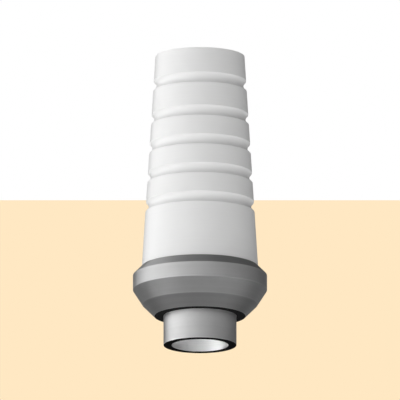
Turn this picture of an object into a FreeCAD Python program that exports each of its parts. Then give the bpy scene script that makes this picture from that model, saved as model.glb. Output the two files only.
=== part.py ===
import FreeCAD, Part
import os
import Sketcher

# Castable dental abutment: a turned metal base and the burn-out plastic sleeve that stands on it.
# Millimetres and degrees. +Z runs up the common axis, from the spigot's end at z = 0 to the sleeve's rim.

# Driving sizes. Both pieces are built outwards from the screw's bore, wall by wall.
SIZES = {
    # Ways through the middle
    "bore_dia": 1.9,
    "screw_seat_width": 0.25,
    "screw_seat_rise": 0.95,
    # Outside of the base, from the spigot's end up
    "spigot_wall": 0.275,
    "spigot_length": 1.0,
    "seat_width": 0.305,
    "bevel_width": 0.4,
    "bevel_angle": 45,
    "flare_height": 0.5,
    "band_height": 0.5,
    "shoulder_width": 0.3,
    "shoulder_angle": 45,
    # Chimney that carries the sleeve
    "chimney_wall": 0.3,
    "chimney_length": 2.4,
    "chimney_lead_in": 0.05,
    "chimney_root_fillet": 0.06,
    "catch_radius": 0.15,
    "catch_depth": 0.08,
    "catch_height": 0.8,
    "catch_pitch": 0.8,
    "catch_count": 2,
    # Sleeve
    "sleeve_length": 7.22,
    "foot_wall": 0.44,
    "rim_wall": 0.295,
    "socket_clearance": 0.01,
    "socket_end_gap": 0.05,
    "socket_mouth_chamfer": 0.1,
    "catch_clearance": 0.03,
    # Trim rings cut around the sleeve
    "ring_radius": 0.2,
    "ring_depth": 0.1,
    "ring_height": 2.05,
    "ring_pitch": 1.0,
    "ring_count": 4,
    "top_ring_drop": 1.02,
}

# Formulas that more than one sketch uses. Radii are measured from the axis.
BORE_R = "Sizes.bore_dia / 2"
CHANNEL_R = f"{BORE_R} + Sizes.screw_seat_width"
SPIGOT_R = f"{BORE_R} + Sizes.spigot_wall"
SEAT_R = f"{SPIGOT_R} + Sizes.seat_width"
BEVEL_R = f"{SEAT_R} + Sizes.bevel_width"
CHIMNEY_R = f"{CHANNEL_R} + Sizes.chimney_wall"
SOCKET_R = f"{CHIMNEY_R} + Sizes.socket_clearance"
FOOT_R = f"{SOCKET_R} + Sizes.foot_wall"
RIM_R = f"{CHANNEL_R} + Sizes.rim_wall"
COLLAR_R = f"{FOOT_R} + Sizes.shoulder_width"

# Heights of the base, from the spigot's end.
SEAT_Z = "Sizes.spigot_length"
SCREW_SEAT_Z = f"{SEAT_Z} + Sizes.screw_seat_rise"
BEVEL_Z = f"{SEAT_Z} + Sizes.bevel_width * tan(Sizes.bevel_angle)"
FLARE_Z = f"{BEVEL_Z} + Sizes.flare_height"
BAND_Z = f"{FLARE_Z} + Sizes.band_height"
LAND_Z = f"{BAND_Z} + Sizes.shoulder_width * tan(Sizes.shoulder_angle)"
CHIMNEY_Z = f"{LAND_Z} + Sizes.chimney_length"

# Height of the chimney's end in the sleeve's own frame, which starts at the sleeve's foot.
SOCKET_Z = "Sizes.chimney_length + Sizes.socket_end_gap"

# The catch grooves and the sleeve's bead share their section's centre.
CATCH_CENTRE_R = f"{CHIMNEY_R} + Sizes.catch_radius - Sizes.catch_depth"
BEAD_SECTION_R = "Sizes.catch_radius - Sizes.catch_clearance"

# A coordinate that lies on a sketch axis.
ON_AXIS = "0"
# How a sketch numbers its own axes, and the points of a line or circle. The origin is the horizontal's start.
HORIZONTAL_AXIS, VERTICAL_AXIS = range(-1, -3, -1)
START, END, CENTRE = range(1, 4)
# Closest match asked of an edge's radius and height.
SAME_PLACE = 1e-4


def make_sheet(doc):
    """The spreadsheet of driving sizes, one row each: name, value."""
    sheet = doc.addObject("Spreadsheet::Sheet", "Sizes")
    for row, (name, value) in enumerate(SIZES.items(), start=1):
        sheet.set(f"A{row}", name)
        sheet.set(f"B{row}", str(value))
        sheet.setAlias(f"B{row}", name)
    doc.recompute()


def make_body(doc, name):
    body = doc.addObject("PartDesign::Body", name)
    body.Label = name
    return body


def new_sketch(body, name):
    """An empty sketch on the body's XZ plane: across it is the radius, up it is the height."""
    plane = next(item for item in body.Origin.OriginFeatures if item.Role == "XZ_Plane")
    sketch = body.newObject("Sketcher::SketchObject", name)
    sketch.AttachmentSupport = (plane, [""])
    sketch.MapMode = "FlatFace"
    return sketch


def sheet_point(sketch, radius, height):
    """The point that two formulas give now."""
    return FreeCAD.Vector(sketch.evalExpression(radius), sketch.evalExpression(height), 0)


def pin_point(sketch, geometry, point, radius, height):
    """Ties a point of the sketch to its radius and its height, each a formula of the sheet."""
    directions = (
        ("DistanceX", VERTICAL_AXIS, radius),
        ("DistanceY", HORIZONTAL_AXIS, height),
    )
    for kind, axis, formula in directions:
        if formula == ON_AXIS:
            sketch.addConstraint(Sketcher.Constraint("PointOnObject", geometry, point, axis))
            continue
        value = sketch.evalExpression(formula)
        constraint = Sketcher.Constraint(kind, HORIZONTAL_AXIS, START, geometry, point, value)
        index = sketch.addConstraint(constraint)
        sketch.setExpression(f"Constraints[{index}]", formula)


def outline_sketch(body, name, corners):
    """A closed outline of straight lines through corners given as (radius, height) formulas."""
    sketch = new_sketch(body, name)
    points = [sheet_point(sketch, radius, height) for radius, height in corners]
    following = points[1:] + points[:1]
    for start, end in zip(points, following):
        sketch.addGeometry(Part.LineSegment(start, end))
    for index, (radius, height) in enumerate(corners):
        before = (index - 1) % len(corners)
        sketch.addConstraint(Sketcher.Constraint("Coincident", before, END, index, START))
        pin_point(sketch, index, START, radius, height)
    return sketch


def circles_sketch(body, name, section_radius, centres):
    """Circles of one radius, with centres given as (radius, height) formulas."""
    sketch = new_sketch(body, name)
    size = sketch.evalExpression(section_radius)
    for radius, height in centres:
        centre = sheet_point(sketch, radius, height)
        index = sketch.addGeometry(Part.Circle(centre, FreeCAD.Vector(0, 0, 1), size))
        pin_point(sketch, index, CENTRE, radius, height)
        constraint = sketch.addConstraint(Sketcher.Constraint("Radius", index, size))
        sketch.setExpression(f"Constraints[{constraint}]", section_radius)
    return sketch


def turn(body, kind, name, sketch):
    """Turns a sketch fully about the axis: kind is Revolution to add material, Groove to cut it."""
    before = body.Shape.Volume if body.Tip else 0
    feature = body.newObject(f"PartDesign::{kind}", name)
    feature.Profile = (sketch, [""])
    feature.ReferenceAxis = (sketch, ["V_Axis"])
    feature.Angle = 360
    sketch.Document.recompute()
    change = body.Shape.Volume - before
    if (change > 0) != (kind == "Revolution"):
        raise ValueError(f"{name} changed the volume by {change:.4f} mm3, the wrong way for a {kind}")
    return feature


def round_edges(body, radius, height):
    """Names of the body's circular edges at a radius and height, each a formula of the sheet."""
    wanted_radius = body.evalExpression(radius)
    wanted_height = body.evalExpression(height)
    names = []
    for number, edge in enumerate(body.Tip.Shape.Edges, start=1):
        if not isinstance(edge.Curve, Part.Circle):
            continue
        same_radius = abs(edge.Curve.Radius - wanted_radius) < SAME_PLACE
        same_height = abs(edge.Curve.Center.z - wanted_height) < SAME_PLACE
        if same_radius and same_height:
            names.append(f"Edge{number}")
    if not names:
        place = f"radius {wanted_radius:.3f}, height {wanted_height:.3f}"
        raise ValueError(f"{body.Label} has no round edge at {place}")
    return names


def break_edge(body, kind, name, radius, height, size):
    """A Fillet or Chamfer on the round edge at a radius and height, its size a formula of the sheet."""
    edges = round_edges(body, radius, height)
    base = body.Tip
    feature = body.newObject(f"PartDesign::{kind}", name)
    feature.Base = (base, edges)
    feature.setExpression("Radius" if kind == "Fillet" else "Size", size)
    body.Document.recompute()
    return feature


def cone_radius(height):
    """The sleeve's outer radius at a height above its foot, as a formula."""
    return f"{FOOT_R} - ({FOOT_R} - ({RIM_R})) * ({height}) / Sizes.sleeve_length"


def make_metal_base(doc):
    """Turned base: spigot, flat seat, bevel, flare, band and shoulder, with the chimney above."""
    body = make_body(doc, "metal_base")
    outside = outline_sketch(body, "turned_outside", [
        (ON_AXIS, ON_AXIS),
        (SPIGOT_R, ON_AXIS),
        (SPIGOT_R, SEAT_Z),
        (SEAT_R, SEAT_Z),
        (BEVEL_R, BEVEL_Z),
        (COLLAR_R, FLARE_Z),
        (COLLAR_R, BAND_Z),
        (FOOT_R, LAND_Z),
        (CHIMNEY_R, LAND_Z),
        (CHIMNEY_R, CHIMNEY_Z),
        (ON_AXIS, CHIMNEY_Z),
    ])
    turn(body, "Revolution", "base_blank", outside)

    # The screw's bore, and above its seat the wider way for the screw's head.
    ways = outline_sketch(body, "screw_ways", [
        (ON_AXIS, ON_AXIS),
        (BORE_R, ON_AXIS),
        (BORE_R, SCREW_SEAT_Z),
        (CHANNEL_R, SCREW_SEAT_Z),
        (CHANNEL_R, CHIMNEY_Z),
        (ON_AXIS, CHIMNEY_Z),
    ])
    turn(body, "Groove", "screw_bore", ways)

    # Round-bottomed grooves around the chimney. The sleeve's bead catches in the lowest.
    centres = [
        (CATCH_CENTRE_R, f"{LAND_Z} + Sizes.catch_height + {step} * Sizes.catch_pitch")
        for step in range(SIZES["catch_count"])
    ]
    grooves = circles_sketch(body, "catch_sections", "Sizes.catch_radius", centres)
    turn(body, "Groove", "catch_grooves", grooves)

    break_edge(body, "Fillet", "chimney_root", CHIMNEY_R, LAND_Z, "Sizes.chimney_root_fillet")
    break_edge(body, "Chamfer", "chimney_end", CHIMNEY_R, CHIMNEY_Z, "Sizes.chimney_lead_in")
    return body


def make_castable_sleeve(doc):
    """Burn-out sleeve, drawn from its own foot up and placed on the base's land."""
    body = make_body(doc, "castable_sleeve")
    top = "Sizes.sleeve_length"
    cone = outline_sketch(body, "cone", [
        (ON_AXIS, ON_AXIS),
        (FOOT_R, ON_AXIS),
        (RIM_R, top),
        (ON_AXIS, top),
    ])
    turn(body, "Revolution", "sleeve_blank", cone)

    # The socket fits over the chimney, and the channel carries on the base's own way.
    ways = outline_sketch(body, "socket_and_channel", [
        (ON_AXIS, ON_AXIS),
        (SOCKET_R, ON_AXIS),
        (SOCKET_R, SOCKET_Z),
        (CHANNEL_R, SOCKET_Z),
        (CHANNEL_R, top),
        (ON_AXIS, top),
    ])
    turn(body, "Groove", "socket", ways)

    # Trim rings: evenly spaced ones from the foot up, and one set off from the rim.
    heights = [f"Sizes.ring_height + {step} * Sizes.ring_pitch" for step in range(SIZES["ring_count"])]
    heights.append("Sizes.sleeve_length - Sizes.top_ring_drop")
    centres = [
        (f"{cone_radius(height)} + Sizes.ring_radius - Sizes.ring_depth", height)
        for height in heights
    ]
    rings = circles_sketch(body, "ring_sections", "Sizes.ring_radius", centres)
    turn(body, "Groove", "trim_rings", rings)

    # Bead inside the socket, a named clearance smaller than the groove that it catches in.
    bead = circles_sketch(body, "bead_section", BEAD_SECTION_R, [(CATCH_CENTRE_R, "Sizes.catch_height")])
    turn(body, "Revolution", "catch_bead", bead)

    # The mouth's chamfer clears the fillet at the chimney's root.
    break_edge(body, "Chamfer", "socket_mouth", SOCKET_R, ON_AXIS, "Sizes.socket_mouth_chamfer")
    body.setExpression("Placement.Base.z", LAND_Z)
    return body


def check_and_export(doc, bodies):
    """Stops on any failed object or unsound solid, then writes one file for each piece."""
    doc.recompute()
    for item in doc.Objects:
        if "Invalid" in item.State or "Error" in item.State:
            raise ValueError(f"{item.Label} is {item.State}")
    for body in bodies:
        shape = body.Shape
        if shape.isNull() or not shape.isValid() or len(shape.Solids) != 1:
            raise ValueError(f"{body.Label} isn't one sound solid")
    os.makedirs("parts", exist_ok=True)
    for body in bodies:
        body.Shape.exportStep(f"parts/{body.Label}.step")
        low, high = body.Shape.BoundBox.ZMin, body.Shape.BoundBox.ZMax
        print(f"{body.Label}: {body.Shape.Volume:.4f} mm3, z {low:.3f} to {high:.3f}")


document = FreeCAD.newDocument("abutment")
make_sheet(document)
check_and_export(document, [make_metal_base(document), make_castable_sleeve(document)])
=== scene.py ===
"""A dental abutment: a turned alloy base, and the burn-out plastic sleeve that clicks onto its chimney."""

import math

import bmesh
import bpy
from mathutils import Matrix, Vector


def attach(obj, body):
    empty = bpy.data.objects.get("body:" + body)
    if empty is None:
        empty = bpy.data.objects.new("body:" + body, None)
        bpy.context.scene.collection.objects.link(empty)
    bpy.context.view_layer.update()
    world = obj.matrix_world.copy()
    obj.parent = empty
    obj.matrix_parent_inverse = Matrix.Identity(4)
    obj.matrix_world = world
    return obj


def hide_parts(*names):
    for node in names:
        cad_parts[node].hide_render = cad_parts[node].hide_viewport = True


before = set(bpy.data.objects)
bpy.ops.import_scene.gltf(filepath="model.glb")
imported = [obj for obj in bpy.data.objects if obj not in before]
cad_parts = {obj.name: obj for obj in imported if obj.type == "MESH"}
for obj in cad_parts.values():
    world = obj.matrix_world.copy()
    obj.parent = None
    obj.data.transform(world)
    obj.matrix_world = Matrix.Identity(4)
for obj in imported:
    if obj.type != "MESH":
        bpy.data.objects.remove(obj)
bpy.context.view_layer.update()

# Everything is drawn in millimetres, outwards from the axis and upwards from the foot.
MM = 0.001
TURNING_STEPS = 256
ROUND_STEPS = 16
FILLET_STEPS = 12
SAME_POINT = 0.0001

# Where an outline turns by more than SHARP_TURN its corner is broken. Faces that meet at more than
# SMOOTH_TURN are shaded apart, so that straight walls stay straight to the light.
SHARP_TURN = math.radians(25)
SMOOTH_TURN = math.radians(8)
EDGE_BREAK = 0.012

# Turned base
BORE_R = 0.95
SPIGOT_R = 1.225
SEAT_R, SEAT_Z = 1.53, 1.0
BEVEL_R, BEVEL_TOP = 1.93, 1.4
BAND_R, BAND_Z, BAND_TOP = 2.25, 1.9, 2.4
LAND_R, LAND_Z = 1.95, 2.7
CHIMNEY_R, CHIMNEY_TOP = 1.5, 5.1
CHIMNEY_LEAD_IN = 0.05
ROOT_FILLET = 0.06
CHANNEL_R = 1.2
SCREW_SEAT_Z = 1.95
CATCH_R, CATCH_CENTRE_R = 0.15, 1.57
CATCH_HEIGHTS = (3.5, 4.3)

# Plastic sleeve
RIM_R, RIM_Z = 1.495, 9.92
SOCKET_R, SOCKET_END = 1.51, 5.15
SOCKET_MOUTH = 0.1
BEAD_R = 0.12
RING_R, RING_DEPTH = 0.2, 0.1
RING_HEIGHTS = (4.75, 5.75, 6.75, 7.75, 8.9)

# Finishes
RELIEF_DEPTH = 0.002
# Corners a little brighter: rubbed wear, and a painted edge highlight.
WEAR_AND_HIGHLIGHT_REACH, WEAR_AND_HIGHLIGHT_GAIN = 0.06, 0.05
FLANK_LEAN = 0.35

# Studio and camera
PICTURE_WIDTH = 13.42
PICTURE_CENTRE_Z = 4.996
CAMERA_ELEVATION = -12.6
CAMERA_DISTANCE = 40
CLIP_START, CLIP_END = 0.1, 1000
FLOOR_HALF = 500
FLOOR_DROP = 0.01
CARD_Y, CARD_HALF = 60, 8
CARD_SPLIT, CARD_TOP = 18.4, 30
SOFTBOX_DISTANCE, SOFTBOX_SIZE = 300, 270

# Banks of softboxes: elevation, the first azimuth, and how bright each box in turn makes a white that
# faces it. Azimuth 0 is the front and 90 the right. The low banks shine up through the clear floor.
SOFTBOX_STEP = 24
SOFTBOX_BANKS = (
    (58, -150, (0.25,)),
    (10, -116, (0.165, 0.147, 0.129, 0.109, 0.085, 0.064, 0.051, 0.041, 0.03, 0.015)),
    (-12, -92, (0.131, 0.112, 0.093, 0.069, 0.041, 0.017)),
    (-50, -92, (0.054, 0.041, 0.031, 0.027, 0.03, 0.037, 0.049, 0.064, 0.082)),
    (-75, 0, (0.055,)),
)
FLOOR_GLOW = 0.05
WORLD_GREY = 0.12


# Outlines of the half sections


def arc(centre_r, centre_z, radius, start, end, steps):
    """Points round a centre, from one angle to the other in degrees."""
    points = []
    for step in range(steps + 1):
        angle = math.radians(start + (end - start) * step / steps)
        points.append((centre_r + radius * math.cos(angle), centre_z + radius * math.sin(angle)))
    return points


def round_in_wall(centre_r, centre_z, radius, wall_r):
    """The part of a round that reaches inwards past an upright wall, from bottom to top."""
    half = math.degrees(math.acos((centre_r - wall_r) / radius))
    return arc(centre_r, centre_z, radius, 180 + half, 180 - half, ROUND_STEPS)


def cone_radius(z):
    """The sleeve's outside at this height."""
    return LAND_R + (RIM_R - LAND_R) * (z - LAND_Z) / (RIM_Z - LAND_Z)


def trim_ring(z):
    """A round-bottomed ring cut in the leaning outside of the sleeve, from bottom to top."""
    lean = math.atan((LAND_R - RIM_R) / (RIM_Z - LAND_Z))
    standoff = RING_R - RING_DEPTH
    half = math.degrees(math.acos(standoff * math.cos(lean) / RING_R))
    deepest = 180 + math.degrees(lean)
    return arc(cone_radius(z) + standoff, z, RING_R, deepest + half, deepest - half, ROUND_STEPS)


def base_outline():
    outline = [
        (BORE_R, 0),
        (SPIGOT_R, 0),
        (SPIGOT_R, SEAT_Z),
        (SEAT_R, SEAT_Z),
        (BEVEL_R, BEVEL_TOP),
        (BAND_R, BAND_Z),
        (BAND_R, BAND_TOP),
        (LAND_R, LAND_Z),
    ]
    outline += arc(CHIMNEY_R + ROOT_FILLET, LAND_Z + ROOT_FILLET, ROOT_FILLET, 270, 180, FILLET_STEPS)
    for z in CATCH_HEIGHTS:
        outline += round_in_wall(CATCH_CENTRE_R, z, CATCH_R, CHIMNEY_R)
    outline += [
        (CHIMNEY_R, CHIMNEY_TOP - CHIMNEY_LEAD_IN),
        (CHIMNEY_R - CHIMNEY_LEAD_IN, CHIMNEY_TOP),
        (CHANNEL_R, CHIMNEY_TOP),
        (CHANNEL_R, SCREW_SEAT_Z),
        (BORE_R, SCREW_SEAT_Z),
    ]
    return outline


def sleeve_outline():
    outline = [(SOCKET_R + SOCKET_MOUTH, LAND_Z), (LAND_R, LAND_Z)]
    for z in RING_HEIGHTS:
        outline += trim_ring(z)
    outline += [
        (RIM_R, RIM_Z),
        (CHANNEL_R, RIM_Z),
        (CHANNEL_R, SOCKET_END),
        (SOCKET_R, SOCKET_END),
    ]
    outline += reversed(round_in_wall(CATCH_CENTRE_R, CATCH_HEIGHTS[0], BEAD_R, SOCKET_R))
    outline.append((SOCKET_R, LAND_Z + SOCKET_MOUTH))
    return outline


# Turned pieces


def turn_at(vert):
    """How far the outline turns at this corner."""
    before, after = (edge.other_vert(vert).co - vert.co for edge in vert.link_edges)
    return math.pi - before.angle(after)


def turned(outline):
    """Draws the half section, breaks its sharp corners and spins it into a closed ring."""
    bm = bmesh.new()
    corners = [bm.verts.new((r, 0, z)) for r, z in outline]
    for start, end in zip(corners, corners[1:] + corners[:1]):
        bm.edges.new((start, end))
    bmesh.ops.bevel(
        bm,
        geom=[vert for vert in bm.verts if turn_at(vert) > SHARP_TURN],
        affect="VERTICES",
        offset=EDGE_BREAK,
        segments=2,
        profile=0.5,
        material=-1,
    )
    bmesh.ops.spin(
        bm,
        geom=bm.verts[:] + bm.edges[:],
        axis=(0, 0, 1),
        angle=math.tau,
        steps=TURNING_STEPS,
        use_merge=True,
    )
    bmesh.ops.remove_doubles(bm, verts=bm.verts, dist=SAME_POINT)
    bmesh.ops.recalc_face_normals(bm, faces=bm.faces)
    return bm


def as_piece(name, bm, *finishes):
    """Makes a mesh that is drawn in millimetres an object in metres."""
    bm.transform(Matrix.Scale(MM, 4))
    mesh = bpy.data.meshes.new(name)
    bm.to_mesh(mesh)
    bm.free()
    mesh.shade_smooth()
    mesh.set_sharp_from_angle(angle=SMOOTH_TURN)
    for finish in finishes:
        mesh.materials.append(finish)
    piece = bpy.data.objects.new(name, mesh)
    bpy.context.collection.objects.link(piece)
    return piece


# Finishes


def new_finish(name):
    material = bpy.data.materials.new(name)
    material.use_nodes = True
    material.node_tree.nodes.clear()
    return material, material.node_tree


def node(tree, kind, inputs=None, **settings):
    """Adds a node. An input is a plain value, or the output socket that feeds it."""
    made = tree.nodes.new("ShaderNode" + kind)
    for key, value in settings.items():
        setattr(made, key, value)
    for key, value in (inputs or {}).items():
        if isinstance(value, bpy.types.NodeSocket):
            tree.links.new(value, made.inputs[key])
        else:
            made.inputs[key].default_value = value
    return made


def calculate(tree, operation, *values):
    return node(tree, "Math", dict(enumerate(values)), operation=operation).outputs[0]


def finish_with(tree, surface):
    node(tree, "OutputMaterial", {"Surface": surface})


def principled(tree, inputs):
    """Ends the finish with one principled shader."""
    finish_with(tree, node(tree, "BsdfPrincipled", inputs).outputs[0])


def section_place(tree):
    """Place on the piece in millimetres, and that place's radius and height."""
    place = node(tree, "TexCoord").outputs["Object"]
    place = node(tree, "VectorMath", {0: place, "Scale": 1 / MM}, operation="SCALE").outputs[0]
    flat = node(tree, "VectorMath", {0: place, 1: (1, 1, 0)}, operation="MULTIPLY").outputs[0]
    radius = node(tree, "VectorMath", {0: flat}, operation="LENGTH").outputs["Value"]
    height = node(tree, "SeparateXYZ", {0: place}).outputs["Z"]
    return place, radius, height


def tool_lines(tree, radius, height, per_mm, detail):
    """Lines round the axis, irregular along the section, on upright and flat faces alike."""
    along = calculate(tree, "MULTIPLY_ADD", radius, 0.4, height)
    lines = node(tree, "TexNoise", {"W": along, "Scale": per_mm, "Detail": detail}, noise_dimensions="1D")
    return lines.outputs[0]


def blotches(tree, place, per_mm, detail):
    """Soft cloudy noise, with about this many clouds to the millimetre."""
    return node(tree, "TexNoise", {"Vector": place, "Scale": per_mm, "Detail": detail}).outputs[0]


def along_the_lines(tree, place):
    """The way that the turning lines run at this place."""
    return node(tree, "VectorMath", {0: (0, 0, 1), 1: place}, operation="CROSS_PRODUCT").outputs[0]


def rescaled(tree, value, low, high, from_low=0.3, from_high=0.7):
    """Brings a value, such as noise that is mostly between 0.3 and 0.7, smoothly between low and high."""
    scaled = {0: value, 1: from_low, 2: from_high, 3: low, 4: high}
    return node(tree, "MapRange", scaled, interpolation_type="SMOOTHSTEP").outputs[0]


def edge_wear_and_painted_highlight(tree, radius, height, corners):
    """One along the named corners of the section, falling to nothing within the wear and highlight reach:
    rubbed wear and a painted edge highlight.
    """
    here = node(tree, "CombineXYZ", {0: radius, 1: height}).outputs[0]
    nearest = WEAR_AND_HIGHLIGHT_REACH
    for corner in corners:
        gap = node(tree, "VectorMath", {0: here, 1: (*corner, 0)}, operation="DISTANCE").outputs["Value"]
        nearest = calculate(tree, "MINIMUM", gap, nearest)
    return rescaled(tree, nearest, 1, 0, 0, WEAR_AND_HIGHLIGHT_REACH)


def grey(level):
    return (level, level, level, 1)


def grey_of(tree, tone):
    """The grey whose level is worked out by other nodes."""
    return node(tree, "CombineColor", {0: tone, 1: tone, 2: tone}).outputs[0]


def stepped(tree, height, level, steps):
    """A level that changes to the next one at each height."""
    for z, next_level in steps:
        level = rescaled(tree, height, level, next_level, z - EDGE_BREAK, z + EDGE_BREAK)
    return level


def relief(tree, height, strength):
    """Fine relief, given as the normal that it makes."""
    depth = RELIEF_DEPTH * MM
    return node(tree, "Bump", {"Height": height, "Strength": strength, "Distance": depth}).outputs[0]


def turned_alloy(name, stretch):
    """Finely turned cobalt-chrome, with lines round the axis and corners a little brighter, partly as rubbed
    wear and partly as a painted edge highlight.

    The spigot is painted brighter than the band as painted light, and the bevel, the flare and the shoulder
    are painted darker as painted shade. The shoulder is also coarser.
    Stretch is how far the turning lines draw the gloss out across them.
    """
    material, tree = new_finish(name)
    place, radius, height = section_place(tree)
    fine = tool_lines(tree, radius, height, 28, 4)
    broad = tool_lines(tree, radius, height, 4, 2)
    cloud = blotches(tree, place, 1.2, 3)
    tone = calculate(tree, "ADD", rescaled(tree, broad, -0.01, 0.01), rescaled(tree, cloud, 0.438, 0.478))
    corners = (
        (SPIGOT_R, 0),
        (SEAT_R, SEAT_Z),
        (BEVEL_R, BEVEL_TOP),
        (BAND_R, BAND_Z),
        (BAND_R, BAND_TOP),
        (LAND_R, LAND_Z),
    )
    # Corners a little brighter: rubbed wear and a painted edge highlight.
    tone = calculate(tree, "MULTIPLY_ADD", edge_wear_and_painted_highlight(tree, radius, height, corners), WEAR_AND_HIGHLIGHT_GAIN, tone)
    # Painted light and shade against the band: the spigot is painted brighter at 1.12, and the darker painted
    # shade of the rest follows upwards from where each face starts.
    painted_shade_upwards = ((SEAT_Z, 0.395), (BEVEL_TOP, 0.525), (BAND_Z, 1), (BAND_TOP, 0.72))
    tone = calculate(tree, "MULTIPLY", tone, stepped(tree, height, 1.12, painted_shade_upwards))
    roughness = calculate(tree, "ADD", rescaled(tree, fine, 0.41, 0.46), rescaled(tree, cloud, -0.02, 0.02))
    roughness = calculate(tree, "ADD", roughness, stepped(tree, height, 0, ((BAND_TOP, 0.08),)))
    principled(
        tree,
        {
            "Base Color": grey_of(tree, tone),
            "Metallic": 1,
            "Roughness": roughness,
            "Anisotropic": stretch,
            "Anisotropic Rotation": 0.25,
            "Tangent": along_the_lines(tree, place),
            "Normal": relief(tree, fine, 0.25),
        },
    )
    return material


def seat_face_painted_shade():
    """The faces that seat on the implant, which face down: painted near-black as shade, and dull, with fine
    turning rings.
    """
    material, tree = new_finish("painted_shade_seat_face")
    _, radius, height = section_place(tree)
    rings = tool_lines(tree, radius, height, 60, 3)
    principled(
        tree,
        {
            "Base Color": grey_of(tree, rescaled(tree, rings, 0.004, 0.012)),
            "Roughness": 0.8,
            "Specular IOR Level": 0.05,
            "Normal": relief(tree, rings, 0.3),
        },
    )
    return material


def bore_flanks_painted_light():
    """The screw bore: the alloy painted much brighter as painted light, with fine flanks that lean downwards
    and catch the light from the mouth.
    """
    material, tree = new_finish("bore_flanks_painted_light")
    place, radius, height = section_place(tree)
    rings = tool_lines(tree, radius, height, 40, 3)
    wall = node(tree, "NewGeometry").outputs["Normal"]
    leaning = node(tree, "VectorMath", {0: wall, 1: (0, 0, -FLANK_LEAN)}, operation="ADD").outputs[0]
    leaning = node(tree, "VectorMath", {0: leaning}, operation="NORMALIZE").outputs[0]
    principled(
        tree,
        {
            # Painted light: far brighter than the rest of the alloy.
            "Base Color": grey_of(tree, rescaled(tree, rings, 0.82, 0.9)),
            "Metallic": 1,
            "Roughness": rescaled(tree, rings, 0.3, 0.4),
            "Anisotropic": 0.2,
            "Anisotropic Rotation": 0.25,
            "Tangent": along_the_lines(tree, place),
            "Normal": leaning,
        },
    )
    return material


def burn_out_plastic():
    """Smooth white plastic with the faint rings and fine grain of a turned acetal rod."""
    material, tree = new_finish("burn_out_plastic")
    place, radius, height = section_place(tree)
    rings = tool_lines(tree, radius, height, 18, 3)
    grain = blotches(tree, place, 9, 1)
    cloud = blotches(tree, place, 0.9, 2)
    tone = calculate(tree, "ADD", rescaled(tree, cloud, 0.86, 0.88), rescaled(tree, rings, -0.004, 0.004))
    less_blue = calculate(tree, "MULTIPLY", tone, 0.995)
    principled(
        tree,
        {
            "Base Color": node(tree, "CombineColor", {0: tone, 1: tone, 2: less_blue}).outputs[0],
            "Roughness": rescaled(tree, grain, 0.28, 0.31),
            "IOR": 1.5,
            "Normal": relief(tree, calculate(tree, "MULTIPLY_ADD", grain, 0.1, rings), 0.05),
        },
    )
    return material


# The abutment

ALLOY, PAINTED_SHADE_SEAT, BORE, SHOULDER = range(4)
FACES_DOWN, LEANS_UP = -0.9, 0.3


def base_finish_at(face):
    """Which of the base's finishes this face has."""
    middle = face.calc_center_median()
    # The seat and foot faces, which face down, get the near-black painted shade.
    if face.normal.z < FACES_DOWN and middle.z < SEAT_Z + EDGE_BREAK:
        return PAINTED_SHADE_SEAT
    # The bore gets the alloy painted brighter as painted light.
    if middle.xy.length < BORE_R + EDGE_BREAK and middle.z < SCREW_SEAT_Z:
        return BORE
    if face.normal.z > LEANS_UP and BAND_TOP < middle.z < LAND_Z + EDGE_BREAK:
        return SHOULDER
    return ALLOY


base_mesh = turned(base_outline())
for face in base_mesh.faces:
    face.material_index = base_finish_at(face)
base = as_piece(
    "metal_base_turned",
    base_mesh,
    turned_alloy("turned_alloy", 0.5),
    seat_face_painted_shade(),
    bore_flanks_painted_light(),
    # The shoulder: coarser, and painted darker as shade.
    turned_alloy("coarse_shoulder_painted_shade", 1),
)
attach(base, "root")
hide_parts("metal_base")

sleeve = as_piece("castable_sleeve_turned", turned(sleeve_outline()), burn_out_plastic())
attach(sleeve, "root")
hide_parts("castable_sleeve")


# Studio


def seen(tree):
    """One for the rays that show a background: to the eye, mirrored, or through something clear."""
    path = node(tree, "LightPath")
    eye_or_mirror = calculate(tree, "MAXIMUM", path.outputs["Is Camera Ray"], path.outputs["Is Glossy Ray"])
    return calculate(tree, "MAXIMUM", eye_or_mirror, path.outputs["Is Transmission Ray"])


def pale_floor():
    """A pale sheet that holds the shadow from above, and is clear from underneath, where the camera is."""
    material, tree = new_finish("pale_floor")
    lit = node(tree, "BsdfDiffuse", {"Color": grey(0.8)})
    glow_level = calculate(tree, "MULTIPLY", seen(tree), FLOOR_GLOW)
    glow = node(tree, "Emission", {"Color": grey(1), "Strength": glow_level})
    sheet = node(tree, "AddShader", {0: lit.outputs[0], 1: glow.outputs[0]})
    underneath = node(tree, "NewGeometry").outputs["Backfacing"]
    lamp_ray = node(tree, "LightPath").outputs["Is Shadow Ray"]
    clear = node(tree, "BsdfTransparent")
    open_side = calculate(tree, "MAXIMUM", underneath, lamp_ray)
    surface = node(tree, "MixShader", {0: open_side, 1: sheet.outputs[0], 2: clear.outputs[0]})
    finish_with(tree, surface.outputs[0])
    return material


def card(name, colour):
    """A background card that shows its own colour and lights nothing."""
    material, tree = new_finish(name)
    glow = node(tree, "Emission", {"Color": (*colour, 1), "Strength": seen(tree)})
    finish_with(tree, glow.outputs[0])
    return material


def flat_panel(name, corners, finish):
    bm = bmesh.new()
    bm.faces.new([bm.verts.new(Vector(corner)) for corner in corners])
    panel = as_piece(name, bm, finish)


def upright_card(name, bottom, top, finish):
    sides = ((-CARD_HALF, bottom), (CARD_HALF, bottom), (CARD_HALF, top), (-CARD_HALF, top))
    flat_panel(name, [(x, CARD_Y, z) for x, z in sides], finish)


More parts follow.
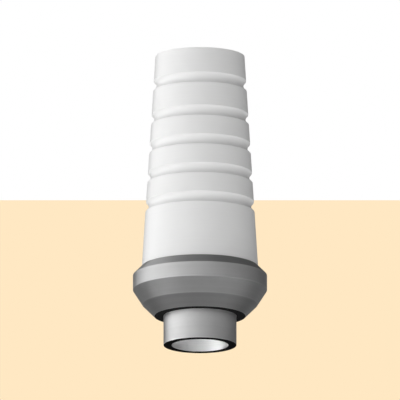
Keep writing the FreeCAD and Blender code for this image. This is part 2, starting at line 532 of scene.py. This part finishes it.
def direction(azimuth, elevation):
    """Points from the object towards this side: azimuth 0 is the front and 90 the right."""
    turn, lift = math.radians(azimuth), math.radians(elevation)
    return Vector((math.sin(turn) * math.cos(lift), -math.cos(turn) * math.cos(lift), math.sin(lift)))


def place_facing_middle(thing, azimuth, elevation, distance):
    outwards = direction(azimuth, elevation)
    thing.location = (Vector((0, 0, PICTURE_CENTRE_Z)) + outwards * distance) * MM
    thing.rotation_euler = outwards.to_track_quat("Z", "Y").to_euler()
    bpy.context.collection.objects.link(thing)


corner_signs = ((-1, -1), (1, -1), (1, 1), (-1, 1))
flat_panel("floor", [(x * FLOOR_HALF, y * FLOOR_HALF, -FLOOR_DROP) for x, y in corner_signs], pale_floor())
upright_card("card_low", 0, CARD_SPLIT, card("peach_card", (1, 0.807, 0.546)))
upright_card("card_high", CARD_SPLIT, CARD_TOP, card("white_card", (1, 1, 1)))

for elevation, first_azimuth, levels in SOFTBOX_BANKS:
    for box, level in enumerate(levels):
        azimuth = first_azimuth + box * SOFTBOX_STEP
        light = bpy.data.lights.new(f"softbox_{azimuth}_{elevation}", "AREA")
        light.shape = "DISK"
        light.size = SOFTBOX_SIZE * MM
        light.energy = level * (math.pi * SOFTBOX_DISTANCE * MM) ** 2
        # The floor is clear only to the rays that look for a lamp, so a low lamp is found by those alone.
        light.cycles.use_multiple_importance_sampling = elevation > 0
        softbox = bpy.data.objects.new(light.name, light)
        softbox.visible_camera = False
        place_facing_middle(softbox, azimuth, elevation, SOFTBOX_DISTANCE)

world = bpy.data.worlds.new("studio")
world.use_nodes = True
world.node_tree.nodes["Background"].inputs["Color"].default_value = grey(WORLD_GREY)
bpy.context.scene.world = world

camera = bpy.data.objects.new("camera", bpy.data.cameras.new("camera"))
camera.data.type = "ORTHO"
camera.data.ortho_scale = PICTURE_WIDTH * MM
camera.data.clip_start, camera.data.clip_end = CLIP_START * MM, CLIP_END * MM
place_facing_middle(camera, 0, CAMERA_ELEVATION, CAMERA_DISTANCE)
bpy.context.scene.camera = camera
bpy.context.scene.view_settings.view_transform = "Standard"
